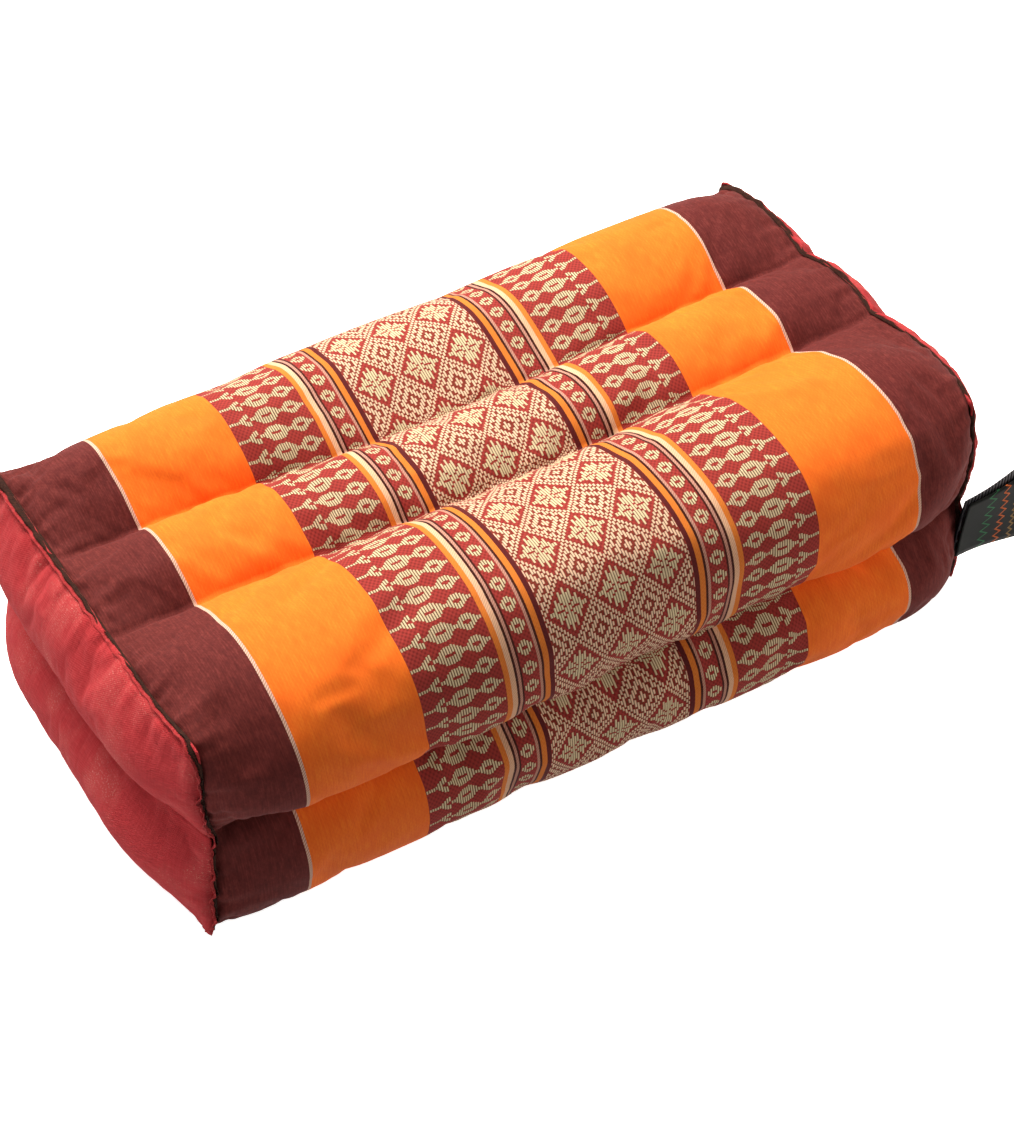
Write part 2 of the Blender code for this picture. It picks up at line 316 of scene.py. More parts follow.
# Cover, cut into cloth-sized cells: along the block, then round it from the front upper channel over the
# front, under and back over the top
cover = {
    "cellsAlong": 96,
    "cellsRound": [42, 40, 16, 40, 42, 16],
    "endCell": 0.45,  # how much shorter a cell is at the seams than in the middle
    "pressure": 3,
    "growth": 0.02,  # the cloth is this much larger than the shape, so that the seams gather it
    "furthest": 2.6,
    "gather": (0.7, 10, 1.2),  # its height, its reach, and how far the seam itself holds the cloth
    "gatherLengths": (7.3, 11.9, 17.7),
    "gatherSway": (2, 9),  # the gathers wander this far, over this length
    "channelGather": (0.4, 6, 1.5),
    "channelLengths": (7.1, 12.3, 21.7),
    "channelSway": (1.5, 5),
    "creaseFade": 9,  # the creases run out this near the seams
    "creaseUneven": 0.12,
    "creaseLengths": (13.7, 31.1),
    "hiddenReach": 3,
    "restsBelow": 1.5,  # the cloth that lies on the ground is held there
    "smoothTo": (1, 5),  # and its gathers begin between these heights
    "levelTo": 140,  # from here on, u follows the cloth down to the seam
    "endU": 190,  # where the filling's own ends, out of sight, read the pattern
    "seed": 7,
}

# The sewn creases in the same order: how deep the thread pulls each in, over what reach and which way, and
# how much of the pattern it takes out of sight
creases = [
    (3.2, 5, (0, 0, -1), 10.5),
    (8, 6, (0, 1, 0), 21),
    (2, 5, (0, 0, 1), 8),
    (2, 5, (0, 0, 1), 8),
    (8, 6, (0, -1, 0), 21),
    (3.2, 5, (0, 0, -1), 11.5),
]


def coverGrid():
    points = coverCage()
    sharp = [channelAt, foldAt, halfRing - channelAt]
    sharp += [2 * halfRing - index for index in reversed(sharp)]
    for _ in range(3):
        points = refinedRing(refined(points), sharp)
        sharp = [2 * index for index in sharp]
    xLine = points[:, 0, 0]
    count = cover["cellsAlong"]
    spread = np.linspace(-1, 1, count + 1)
    spread = spread + (1 - cover["endCell"]) * np.sin(np.pi * spread) / np.pi
    targets = mix(xLine[0], xLine[-1], (spread + 1) / 2)
    at = np.interp(targets, xLine, np.arange(len(xLine)))
    low = np.minimum(at.astype(int), len(xLine) - 2)
    share = (at - low)[:, None, None]
    points = points[low] * (1 - share) + points[low + 1] * share
    around = points.shape[1]
    pieces = []
    ends = sharp + [sharp[0] + around]
    for first, last, steps in zip(ends, ends[1:], cover["cellsRound"]):
        span = np.take(points, np.arange(first, last + 1) % around, axis=1)
        pieces.append(resampled(span, steps)[:, :-1])
    return grounded(cornered(leaned(np.concatenate(pieces, 1))))


def seamColumns(scale=1):
    return [int(start) * scale for start in np.cumsum([0] + cover["cellsRound"][:-1])]


# The cloth's own flat measures, u along the block and v round it, both in millimetres. The channels and folds
# each keep one v, as rows of stitching do
def clothMap(grid):
    rows, columns = grid.shape[:2]
    closed = np.concatenate([grid, grid[:, :1]], 1)
    steps = np.linalg.norm(np.diff(closed, axis=1), axis=2)
    middle = steps[rows // 2]
    v = np.zeros((rows, columns + 1))
    ends = seamColumns() + [columns]
    for first, last in zip(ends, ends[1:]):
        along = np.concatenate([np.zeros((rows, 1)), np.cumsum(steps[:, first:last], axis=1)], 1)
        length = middle[first:last].sum()
        v[:, first:last + 1] = v[0, first] + along / along[:, -1:] * length
    run = np.linalg.norm(np.diff(closed, axis=0), axis=2)
    x = closed[:, :, 0]
    u = x.copy()
    for way, order in ((1, range(1, rows)), (-1, range(rows - 2, -1, -1))):
        for i in order:
            stretched = u[i - way] + way * run[min(i, i - way)]
            u[i] = np.where(way * x[i] > cover["levelTo"], stretched, u[i])
    return np.stack([u, v], 2)


def newObject(name, data):
    made = bpy.data.objects.new(name, data)
    bpy.context.scene.collection.objects.link(made)
    return made


def meshObject(name, points, faces, uv=None):
    mesh = bpy.data.meshes.new(name)
    mesh.from_pydata((np.asarray(points) * mm).tolist(), [], faces)
    if uv is not None:
        layer = mesh.uv_layers.new(name="clothMap")
        layer.data.foreach_set("uv", np.asarray(uv, np.float32).ravel())
    mesh.shade_smooth()
    return newObject(name, mesh)


def vertexValues(mesh, kind="co"):
    found = np.zeros(len(mesh.vertices) * 3)
    mesh.vertices.foreach_get(kind, found)
    return found.reshape(-1, 3)


settleFrames = 20
clothSettings = {
    "quality": 5,
    "mass": 0.2,
    "tension_stiffness": 25,
    "compression_stiffness": 25,
    "shear_stiffness": 8,
    "bending_stiffness": 0.4,
    "air_damping": 3,
    "vertex_group_mass": "stitches",
    "use_pressure": True,
}


# Pressure from the filling rounds the cloth out between its pinned stitches
def settleCloth(made, pinned, sizes):
    start = vertexValues(made.data)
    group = made.vertex_groups.new(name="stitches")
    group.add([int(index) for index in sorted(pinned)], 1, "REPLACE")
    cloth = made.modifiers.new("cloth", "CLOTH")
    for key, value in clothSettings.items():
        setattr(cloth.settings, key, value)
    cloth.settings.uniform_pressure_force = sizes["pressure"]
    cloth.settings.shrink_min = -sizes["growth"]
    cloth.settings.effector_weights.gravity = 0
    cloth.collision_settings.use_collision = False
    scene = bpy.context.scene
    for step in range(1, settleFrames + 1):
        scene.frame_set(step)
    settled = made.evaluated_get(bpy.context.evaluated_depsgraph_get())
    moved = vertexValues(settled.to_mesh()) - start
    settled.to_mesh_clear()
    made.modifiers.remove(cloth)
    scene.frame_set(1)
    length = np.linalg.norm(moved, axis=1, keepdims=True)
    most = sizes["furthest"] * mm
    moved *= np.tanh(length / most) * most / np.maximum(length, 1e-9)
    print(made.name, "cloth moved", round(float(length.max()) / mm, 1), "mm at most")
    return (start + moved) / mm


def gridNormals(grid):
    around = (np.roll(grid, -1, 1) - np.roll(grid, 1, 1)) / 2
    return unit(np.cross(around, np.gradient(grid, axis=0)))


def thicken(made, thickness, offset=0):
    cloth = made.modifiers.new("thickness", "SOLIDIFY")
    cloth.thickness = thickness * mm
    cloth.offset = offset


# Cloth that a seam gathers stands up beside it, but not on it
def edgeGather(away, height, reach, held):
    return height * (np.exp(-away / reach) * (1 - np.exp(-away / held)))


# A seeded mixture of waves, from -1 to 1 or so
def ripple(rng, position, lengths):
    total = np.zeros_like(position)
    for length in lengths:
        total += np.sin(2 * np.pi * position / length + rng.uniform(0, 2 * np.pi))
    return total / math.sqrt(len(lengths))


def swayed(position, along, most, length):
    return position + most * np.sin(along / length)


# Gathers along the seams and channels, and the creases that the stitching pulls in
def coverRelief(grid, flat):
    rng = np.random.default_rng(cover["seed"])
    u, v = flat[:, :-1, 0], flat[:, :-1, 1]
    fromEnd = np.minimum(u - u[0], u[-1] - u)
    height = edgeGather(fromEnd, *cover["gather"])
    height *= ripple(rng, swayed(v, u, *cover["gatherSway"]), cover["gatherLengths"])
    pulled = np.zeros_like(grid)
    for j, (depth, reach, inward, _) in zip(seamColumns(2), creases):
        away = np.abs(v - v[:, j:j + 1])
        away = np.minimum(away, flat[0, -1, 1] - away)
        wandering = swayed(u, v, *cover["channelSway"])
        height += edgeGather(away, *cover["channelGather"]) * ripple(rng, wandering, cover["channelLengths"])
        hold = 1 + cover["creaseUneven"] * ripple(rng, u, cover["creaseLengths"])
        share = hold * np.exp(-away / reach) * (1 - np.exp(-fromEnd / cover["creaseFade"]))
        pulled += depth * share[:, :, None] * np.array(inward)
    height *= np.interp(grid[:, :, 2], cover["smoothTo"], (0, 1))
    return grounded(grid + gridNormals(grid) * height[:, :, None] + pulled)


def buildCover():
    coarse = coverGrid()
    rows, columns = coarse.shape[:2]
    flat = clothMap(coarse)
    trial = meshObject("coverTrial", coarse.reshape(-1, 3), gridFaces(rows, columns))
    seams = seamColumns()
    pinned = coarse[:, :, 2] < cover["restsBelow"]
    pinned[[0, -1]] = True
    pinned[:, seams] = True
    settled = settleCloth(trial, np.flatnonzero(pinned), cover)
    bpy.data.objects.remove(trial)
    grid = refinedRing(refined(settled.reshape(rows, columns, 3)), seams)
    flat = refined(flat)
    halfway = (flat[:, :-1] + flat[:, 1:]) / 2
    flat = np.concatenate([np.stack([flat[:, :-1], halfway], 2).reshape(len(flat), -1, 2), flat[:, -1:]], 1)
    return coverRelief(grid, flat), flat


coverPoints, coverFlat = buildCover()
report("cover settled")


# The closed block: the wrapped cloth and, under each end panel, the filling's own end
def coverFaces(rows, columns, rings):
    faces = gridFaces(rows, columns)
    base = rows * columns
    for end in range(2):
        flip = -1 if end else 1
        outer = end * (rows - 1) * columns
        for ring in range(rings):
            inner = base + (end * rings + ring) * columns
            for j, k in ((j, (j + 1) % columns) for j in range(columns)):
                faces.append((outer + j, inner + j, inner + k, outer + k)[::flip])
            outer = inner
        centre = base + 2 * rings * columns + end
        faces += [(outer + j, centre, outer + (j + 1) % columns)[::flip] for j in range(columns)]
    return faces


panel = {
    "crown": {"left": (22.5, 18.5), "right": (20, 18)},  # lower layer, upper layer
    "crease": 1.5,  # the fold between the layers
    "cell": (16.5, 20.5),  # one cell of the cage, laid flat
    "squareness": 4.5,
    "clearance": 0.7,
    "fillingInset": 2.5,
    "fillingShare": 0.85,  # how far the filling's own end comes out, to the crown
    "fillingSquareness": 7,
    "fillingRings": 7,
    "fillingTip": 0.6,  # from the last ring to the middle, in rings
    "pressure": 3,
    "growth": 0.012,
    "furthest": 2.5,
    "gather": (0.4, 9, 1.5),
    "sideLengths": (6.1, 9.7, 14.9),  # the gathers along the upright edges
    "rimLengths": (6.7, 10.3, 17.1),  # and along the top and bottom ones
    "pucker": 2.4,  # the crease that runs into the panel from each channel's end
    "puckerSlant": 0.2,
    "puckerWidth": 2.2,
    "puckerReach": 8,
    "roll": 1.3,  # the cloth rolls up beside the seam
    "rollReach": 3.2,
    "thickness": 0.8,
    "lowest": 0.4,
    "seed": {"left": 3, "right": 5},
    "flat": (196, 124),  # the panel as cut, its seam allowances aside
}


# How far the filling stands out past the end seam at a point of the end face
def fillingDepth(end, y, z):
    level = z - foldShiftAt(block["seamX"][end], z)
    share = np.clip((level - block["seamBottom"]) / (block["seamTop"] - block["seamBottom"]), 0, 1)
    layer = np.where(share < 0.5, *panel["crown"][end])
    bulge = 1 - np.abs(4 * (share % 0.5) - 1) ** block["middleRoundness"]
    depth = mix(panel["crease"], layer, bulge) * (1 - np.abs(2 * share - 1) ** panel["fillingSquareness"])
    across = np.clip(np.abs(y) / block["seamHalfWidth"], 0, 1)
    depth = panel["fillingShare"] * depth * (1 - across ** panel["squareness"])
    return np.maximum(0, depth - panel["fillingInset"])


def fillingEnd(end, ring):
    centre = np.array([ring[:, 0].mean(), 0, seamMiddle])
    rings = []
    for index in range(1, panel["fillingRings"] + 1):
        share = 1 - index / (panel["fillingRings"] + panel["fillingTip"])
        points = mix(centre, ring, share)
        points[:, 0] = mix(centre[0], ring[:, 0], share ** 0.5)
        points[:, 0] += outward[end] * fillingDepth(end, points[:, 1], points[:, 2])
        rings.append(points)
    tip = centre + [outward[end] * fillingDepth(end, np.array(0.0), centre[2]), 0, 0]
    return rings, tip


# The pattern's own v, counting the cloth that the creases have taken in
def wovenMap(v, seams):
    found = v.copy()
    for at, (_, _, _, hidden) in zip(seams, creases):
        share = np.clip((v - at) / (2 * cover["hiddenReach"]) + 0.5, 0, 1)
        found += hidden * (share * share * (3 - 2 * share) - (at <= 0))
    return found


def addCover(grid, flat):
    rows, columns = grid.shape[:2]
    (leftRings, leftTip), (rightRings, rightTip) = fillingEnd("left", grid[0]), fillingEnd("right", grid[-1])
    points = np.concatenate([grid.reshape(-1, 3), *leftRings, *rightRings, [leftTip, rightTip]])
    faces = coverFaces(rows, columns, panel["fillingRings"])
    edges = np.stack([flat[:-1, :-1], flat[:-1, 1:], flat[1:, 1:], flat[1:, :-1]], 2)
    edges[:, underMiddle:, :, 1] -= flat[0, -1, 1]
    seams = [flat[0, j, 1] - (flat[0, -1, 1] if j > underMiddle else 0) for j in seamColumns(2)]
    edges[:, :, :, 1] = wovenMap(edges[:, :, :, 1], seams)
    edges = edges.reshape(-1, 2)
    rest = sum(len(face) for face in faces[(rows - 1) * columns:])
    uv = np.concatenate([edges, np.tile([[cover["endU"], 0]], (rest, 1))])
    return meshObject("cushionCover", points, faces, uv)


# The pattern runs on over the top and meets itself under the middle, where the cloth is joined
underMiddle = 2 * sum(cover["cellsRound"][:2]) + cover["cellsRound"][2]
coverObject = addCover(coverPoints, coverFlat)


def capPoint(end, j, k):
    rows, columns = 2 * block["up"], 3 * block["across"]
    seam = seamSection()
    side = -1 if j < columns / 2 else 1
    out = abs(j - columns // 2)
    beside = halfRing // 2 + block["up"] - k
    top, bottom = seam[out], seam[halfRing - out]
    seamX = block["seamX"][end]
    if k in (0, rows) or j in (0, columns):
        here = top if k == rows else bottom if k == 0 else seam[beside]
        y = side * here[0]
        atFold = j in (0, columns) and k == block["up"]
        bow = seamBow(end, here[0]) - (block["seamFoldBack"][end] if atFold else 0)
        return (seamX + outward[end] * bow, y, here[1])
    y = side * top[0] * seam[beside][0] / block["seamHalfWidth"]
    layer, step = divmod(k, block["up"])
    depth = panel["crown"][end][layer] * lobe(step / block["up"]) if step else panel["crease"]
    share = 1 - (abs(y) / block["seamHalfWidth"]) ** panel["squareness"]
    z = mix(bottom[1], top[1], k / rows)
    return (seamX + outward[end] * (seamBow(end, y) + depth * share), y, z)


# Subdivides a cage for good, so that its points can be moved afterwards
def roundOff(made, levels):
    rounder = made.modifiers.new("round", "SUBSURF")
    rounder.levels = rounder.render_levels = levels
    rounder.uv_smooth = "NONE"
    graph = bpy.context.evaluated_depsgraph_get()
    mesh = bpy.data.meshes.new_from_object(made.evaluated_get(graph))
    made.modifiers.remove(rounder)
    old = made.data
    made.data = mesh
    bpy.data.meshes.remove(old)
    mesh.name = made.name


def setPlaces(made, places):
    made.data.vertices.foreach_set("co", (places * mm).ravel())
    made.data.update()


# Gathers round the rim, the roll beside the seam and the puckers at the channels' ends
def panelRelief(end, places, normals):
    y, z = places[:, 1], places[:, 2]
    sideways = block["seamHalfWidth"] - np.abs(y)
    upward = np.minimum(z - block["seamBottom"], block["seamTop"] - z)
    fromRim = np.maximum(0, np.minimum(sideways, upward))
    rng = np.random.default_rng(panel["seed"][end])
    besideSides, besideRims = ripple(rng, z, panel["sideLengths"]), ripple(rng, y, panel["rimLengths"])
    height = edgeGather(fromRim, *panel["gather"]) * np.where(sideways < upward, besideSides, besideRims)
    rolled = fromRim / panel["rollReach"]
    height += panel["roll"] * rolled * np.exp(1 - rolled)
    fromChannel = np.abs(y - channelShiftAt(y, z)) - block["channelY"]
    pucker = np.exp(-((fromChannel - panel["puckerSlant"] * upward) / panel["puckerWidth"]) ** 2)
    height -= panel["pucker"] * pucker * np.exp(-upward / panel["puckerReach"])
    height += panel["clearance"] * (1 - np.exp(-fromRim))
    return grounded(places + normals * height[:, None], panel["lowest"])


# The points along one height of the panel's flat measures
def creaseLine(made, height):
    layer = made.data.uv_layers[0].data
    return {loop.vertex_index for loop in made.data.loops if abs(layer[loop.index].uv[1] - height) < 0.01}


def addPanel(end):
    rows, columns = 2 * block["up"], 3 * block["across"]
    points = leaned([capPoint(end, j, k) for k in range(rows + 1) for j in range(columns + 1)])
    faces = [face[::outward[end]] for face in gridFaces(rows + 1, columns + 1, closed=False)]
    uv = [np.multiply(divmod(index, columns + 1)[::-1], panel["cell"]) for face in faces for index in face]
    made = meshObject("endPanel" + end.capitalize(), points, faces, uv)
    sharpEdges = made.data.attributes.new("crease_edge", "FLOAT", "EDGE")
    sharpPoints = made.data.attributes.new("crease_vert", "FLOAT", "POINT")
    for edge in made.data.edges:
        (k, j), (other, _) = (divmod(index, columns + 1) for index in edge.vertices)
        rim = k in (0, rows) if k == other else j in (0, columns)
        folded = k == other == block["up"]
        sharpEdges.data[edge.index].value = rim or folded
    channelEnds = [(k, j) for k in (0, rows) for j in (block["across"], 2 * block["across"])]
    for k, j in channelEnds + [(block["up"], 0), (block["up"], columns)]:
        sharpPoints.data[k * (columns + 1) + j].value = 1
    roundOff(made, 3)
    uses = Counter(key for polygon in made.data.polygons for key in polygon.edge_keys)
    held = {index for key, count in uses.items() if count == 1 for index in key}
    held |= creaseLine(made, block["up"] * panel["cell"][1])
    setPlaces(made, cornered(vertexValues(made.data) / mm))
    setPlaces(made, settleCloth(made, held, panel))
    roundOff(made, 1)
    setPlaces(made, panelRelief(end, vertexValues(made.data) / mm, vertexValues(made.data, "normal")))
    thicken(made, panel["thickness"], offset=1)
    return made


panels = {end: addPanel(end) for end in outward}
report("end panels settled")


# The seam's raw edges: the cover's cloth and the panel's cloth side by side, standing out and leaning over
# the panel. The heights are those of the top's front, middle and back strips
rawEdge = {
    "heights": {"left": (1.3, 2.0, 3.4), "right": (1.2, 1.8, 2.2)},
    "sideHeight": 1.7,
    "cornerExtra": {"left": 1.8, "right": 0.8},
    "panelExtra": {"left": 1.3, "right": 0.5},  # the panel's cloth shows as a thin red lip past the cover's
    "rows": 6,
    "lean": 0.75,
    "topLean": 1.9,
    "topSway": 0.35,
    "strips": (-55, 0, 55),  # where along y the heights are read
    "heightUneven": 0.16,
    "heightShift": 23,  # points along the ring, so that heights and waves differ
    "wave": 0.9,
    "waveLengths": (8.3, 12.1, 19.7),
    "waveSum": 1.7,
    "zigzag": 0.55,  # the short waves of the upright edges
    "zigzagLength": 4.8,
    "zigzagUneven": 0.5,
    "zigzagShift": 41,
    "bendPower": 1.6,
    "bendBack": 0.6,
    "foot": -0.25,  # how far the edges start inside the seam, as a share of their height
    "cornerTurn": 6,
    "cornerPower": 10,
    "apart": 0.3,
    "thickness": 0.45,
    "threadOut": 0.15,  # how far the overlock thread lies out from the cloth
    "stitchPitch": 2.6,
    "threadRadius": 0.13,
    "threadSides": 4,
    # The thread's two lines, by their share of the height and of the reach, and its way over each stitch
    "threadLines": {"root": (0.3, 1), "rim": (1.05, 0.7)},
    "threadPath": [
        ("root", "cover", 0), ("rim", "cover", 0.7), ("rim", "panel", 1),
        ("root", "panel", 1.2), ("rim", "panel", 1.6), ("rim", "cover", 1.8),
    ],
    "lowest": 0.5,
    "seed": {"left": 11, "right": 12},
}


besideSeam = (rawEdge["apart"] + rawEdge["thickness"]) / 2


# Which way the raw edges stand and face at each point of a seam, and how near it is to a corner or upright
def seamFrame(end, ring):
    y = np.clip(ring[:, 1] / block["seamHalfWidth"], -1, 1)
    z = np.clip((ring[:, 2] - seamMiddle) / (block["seamTop"] - seamMiddle), -1, 1)
    turned = [np.sign(part) * np.abs(part) ** rawEdge["cornerTurn"] for part in (0 * y, y, z)]
    away = unit(np.stack(turned, 1))
    direction = away.copy()
    direction[:, 0] = outward[end] * mix(rawEdge["lean"], rawEdge["topLean"], np.clip(away[:, 2], 0, 1))
    direction = unit(direction)
    facing = np.cross(unit(np.roll(ring, -1, 0) - np.roll(ring, 1, 0)), direction)
    facing *= np.sign(facing[:, :1]) * outward[end]
    corner = np.clip(np.abs(y) ** rawEdge["cornerPower"] * np.abs(z) ** rawEdge["cornerPower"], 0, 1)
    return direction, facing, corner, np.clip(1 - away[:, 2], 0, 1)


# Rows of points up the raw edge: shares of its height, and how far it lies towards the panel from its middle
def rawEdgePoints(end, ring, shares, offset, extra=0):
    rng = np.random.default_rng(rawEdge["seed"][end])
    direction, facing, corner, upright = seamFrame(end, ring)
    steps = np.linalg.norm(np.roll(ring, -1, 0) - ring, axis=1)
    along = np.concatenate([[0], np.cumsum(steps)[:-1]])
    full = steps.sum()
    turns = [round(full / length) for length in rawEdge["waveLengths"]]
    wave = sum(np.sin(2 * np.pi * along * turn / full + rng.uniform(0, 6.3)) for turn in turns)
    wave /= rawEdge["waveSum"]
    height = np.interp(ring[:, 1], rawEdge["strips"], rawEdge["heights"][end])
    height = mix(height, rawEdge["sideHeight"], upright)
    height *= 1 + rawEdge["heightUneven"] * np.roll(wave, rawEdge["heightShift"])
    height += rawEdge["cornerExtra"][end] * corner + extra
    shortTurns = round(full / rawEdge["zigzagLength"])
    short = np.sin(2 * np.pi * along * shortTurns / full)
    short *= 1 + rawEdge["zigzagUneven"] * np.roll(wave, rawEdge["zigzagShift"])
    sway = wave * rawEdge["wave"] * mix(rawEdge["topSway"], 1, upright) + short * rawEdge["zigzag"] * upright
    rows = []
    for share in shares:
        bend = sway * share ** rawEdge["bendPower"] - rawEdge["bendBack"] * share * (1 - share)
        rows.append(ring + direction * (height * share)[:, None] + facing * (bend + offset)[:, None])
    return grounded(np.array(rows), rawEdge["lowest"]), along


def addRawEdge(name, end, ring, offset, extra):
    shares = np.linspace(rawEdge["foot"], 1, rawEdge["rows"])
    rows, along = rawEdgePoints(end, ring, shares, offset, extra)
    uv = gridMap(np.append(along, along[-1] + 1.5), shares * rawEdge["sideHeight"])
    made = meshObject(name, rows.reshape(-1, 3), gridFaces(len(shares), len(ring)), uv)
    thicken(made, rawEdge["thickness"])
    return made


# A round thread along a line of points, as vertices and faces to join to others
def threadAlong(points, radius, sides, taper=1):
    points = np.asarray(points, float)
    ahead = unit(np.gradient(points, axis=0))
    helper = np.where(np.abs(ahead[:, 2:]) < 0.9, [[0.0, 0.0, 1.0]], [[0.0, 1.0, 0.0]])
    first = unit(np.cross(ahead, helper))
    second = np.cross(ahead, first)
    angles = np.arange(sides) * 2 * np.pi / sides
    sizes = np.full(len(points), radius)
    sizes[[0, -1]] *= taper
    ring = first[:, None] * np.cos(angles)[None, :, None] + second[:, None] * np.sin(angles)[None, :, None]
    verts = points[:, None] + ring * sizes[:, None, None]
    faces = [(b, a, d, c) for a, b, c, d in gridFaces(len(points), sides)]
    faces.append(tuple(range(sides)))
    faces.append(tuple(reversed(range((len(points) - 1) * sides, len(points) * sides))))
    return verts.reshape(-1, 3), faces


def joinedThreads(name, threads):
    verts, faces, start = [], [], 0
    for points, found in threads:
        verts.append(points)
        faces += [tuple(index + start for index in face) for face in found]
        start += len(points)
    return meshObject(name, np.concatenate(verts), faces)


def evenlySpaced(line, pitch):
    along = distancesAlong(line)
    count = int(along[-1] / pitch)
    return along, np.arange(count) * along[-1] / count


# Overlock thread: up one face of the raw edges, over the rim and down the other
def addOverlock(end, ring):
    reach = besideSeam + rawEdge["threadOut"]
    lines = {}
    for height, (share, spread) in rawEdge["threadLines"].items():
        for side, offset in (("cover", -reach), ("panel", reach)):
            row = rawEdgePoints(end, ring, [share], offset * spread)[0][0]
            lines[height, side] = np.concatenate([row, row[:1]])
    along, targets = evenlySpaced(np.concatenate([ring, ring[:1]]), rawEdge["stitchPitch"])
    half = rawEdge["stitchPitch"] / 2
    path = [
        pointsAt(lines[height, side], along, (at + half * step) % along[-1])
        for at in targets for height, side, step in rawEdge["threadPath"]
    ]
    return threadAlong(path, rawEdge["threadRadius"], rawEdge["threadSides"])


edgePieces = {}
overlock = []
for end, row in (("left", 0), ("right", -1)):
    ring = coverPoints[row]
    cloths = {"cover": (-besideSeam, 0), "panel": (besideSeam, rawEdge["panelExtra"][end])}
    for cloth, (offset, extra) in cloths.items():
        name = "rawEdgeOf" + cloth.capitalize() + end.capitalize()
        edgePieces[cloth, end] = addRawEdge(name, end, ring, offset, extra)
    overlock.append(addOverlock(end, ring))
overlockObject = joinedThreads("overlockThread", overlock)

# Rows of stitching down the channels and along the side folds
stitching = {
    "pitch": 3.4,
    "length": 2.3,
    "radius": 0.2,
    "lift": -0.25,
    "sides": 5,
    "taper": 0.35,
    "fromEnd": 3,
    "endDip": 0.15,  # each stitch dives into the cloth at its ends
    "lowest": 0.35,
}


def addStitching():
    normals = gridNormals(coverPoints)
    threads = []
    for column in seamColumns(2):
        line = coverPoints[:, column] + normals[:, column] * stitching["lift"]
        along, targets = evenlySpaced(line, stitching["pitch"])
        for at in targets:
            if not stitching["fromEnd"] < at < along[-1] - stitching["fromEnd"]:
                continue
            points = pointsAt(line, along, np.linspace(at, at + stitching["length"], 4))
            points[[0, -1], 2] -= stitching["endDip"]
            points = grounded(points, stitching["lowest"])
            threads.append(threadAlong(points, *(stitching[key] for key in ("radius", "sides", "taper"))))
    return joinedThreads("channelStitching", threads)


stitchObject = addStitching()
report("seams sewn")

# Label: a ribbon folded in two, sewn into the right seam
label = {
    "length": 36,
    "width": 28.5,
    "thickness": 0.6,
    "foldRadius": 1.3,
    "root": (178.8, -93.5, 24.5),
    "slant": 3,
    "bend": 2,
    "lift": 4,
    "skew": 5,  # the back half stands higher than the front one towards the fold
    "steps": 30,
    "foldSteps": 8,
    "stepsUp": 14,
    "twist": 2.2,
    "twistAt": 0.3,
    "flutter": 0.5,
    "reverseFrom": 37.5,  # along the ribbon
    # Zigzags across it: where each starts, its width, colour and pitch
    "bars": [(11, 4, "#2A6440", 2.2), (19, 3, "#B85A2C", 1.8), (26, 2, "#80643C", 1.4)],
    "stroke": 0.55,
}


def addLabel():
    turn = label["foldRadius"]
    run = [(label["length"] * s / label["steps"], -turn) for s in range(label["steps"] + 1)]
    back = [(along, turn) for along, _ in reversed(run)]
    for s in range(1, label["foldSteps"]):
        angle = math.pi * (s / label["foldSteps"] - 0.5)
        run.append((label["length"] + turn * math.cos(angle), turn * math.sin(angle)))
    run = np.array(run + back)
    along, across = run.T
    high = np.linspace(0, 1, label["stepsUp"] + 1)
    up = high[:, None]
    share = along / label["length"]
    sweep = (label["twist"] * (up - label["twistAt"]) - label["bend"]) * share**2
    sweep += label["flutter"] * np.sin(3 * up + 5 * share)
    lift = label["lift"] * share * mix(-0.5, 1, up) + label["skew"] * share**1.5 * (across / turn + 1) / 2
    moved = [along - label["slant"] * (1 - up), across + sweep, label["width"] * up + lift]
    points = np.stack(moved, 2).reshape(-1, 3) + label["root"]
    distances = distancesAlong(run)
    uv = gridMap(distances, high * label["width"])
    made = meshObject("labelRibbon", points, gridFaces(len(high), len(run), closed=False), uv)
    thicken(made, label["thickness"])
    return made, distances[-1]


labelObject, labelRun = addLabel()


def linearColour(text):
    found = [int(text[start:start + 2], 16) / 255 for start in (1, 3, 5)]
    return (*(value / 12.92 if value <= 0.04045 else ((value + 0.055) / 1.055) ** 2.4 for value in found), 1)


# Adds one node. "Math:ADD", or "ADD" alone, also sets the operation. Values fill its sockets in order: text
# names the node that a socket is linked to, and a list adds that node first. A noise's are its place, W,
# scale, detail and roughness, and a MapRange's its value, from these two, to these two
def addNode(tree, name, kind, *values, settings=None, sockets=None, stops=()):
    kind, _, operation = ("Math:" + kind if kind.isupper() else kind).partition(":")
    node = tree.nodes.new("ShaderNode" + kind)
    node.name = name
    for key, value in {**({"operation": operation} if operation else {}), **(settings or {})}.items():
        setattr(node, key, value)
    for key, value in {**dict(enumerate(values)), **(sockets or {})}.items():
        if isinstance(value, list):
            tree.links.new(addNode(tree, name + "From", *value).outputs[0], node.inputs[key])
        elif not isinstance(value, str):
            node.inputs[key].default_value = value
        elif value.startswith("#"):
            node.inputs[key].default_value = linearColour(value)
        else:
            source, _, output = value.partition(".")
            tree.links.new(tree.nodes[source].outputs[output or 0], node.inputs[key])
    for index, (position, colour) in enumerate(stops):
        elements = node.color_ramp.elements
        stop = elements[index] if index < len(elements) else elements.new(position)
        stop.position = position
        stop.color = linearColour(colour) if isinstance(colour, str) else colour
    return node


# A new material and what adds nodes to it
def newMaterial(name):
    made = bpy.data.materials.new(name)
    made.use_nodes = True
    made.node_tree.nodes.clear()
    return made, partial(addNode, made.node_tree)


# A sine wave over a measure, its length in millimetres, for addNode
def wave(source, length):
    return ["SINE", ["MULTIPLY", source, 2 * math.pi / length]]


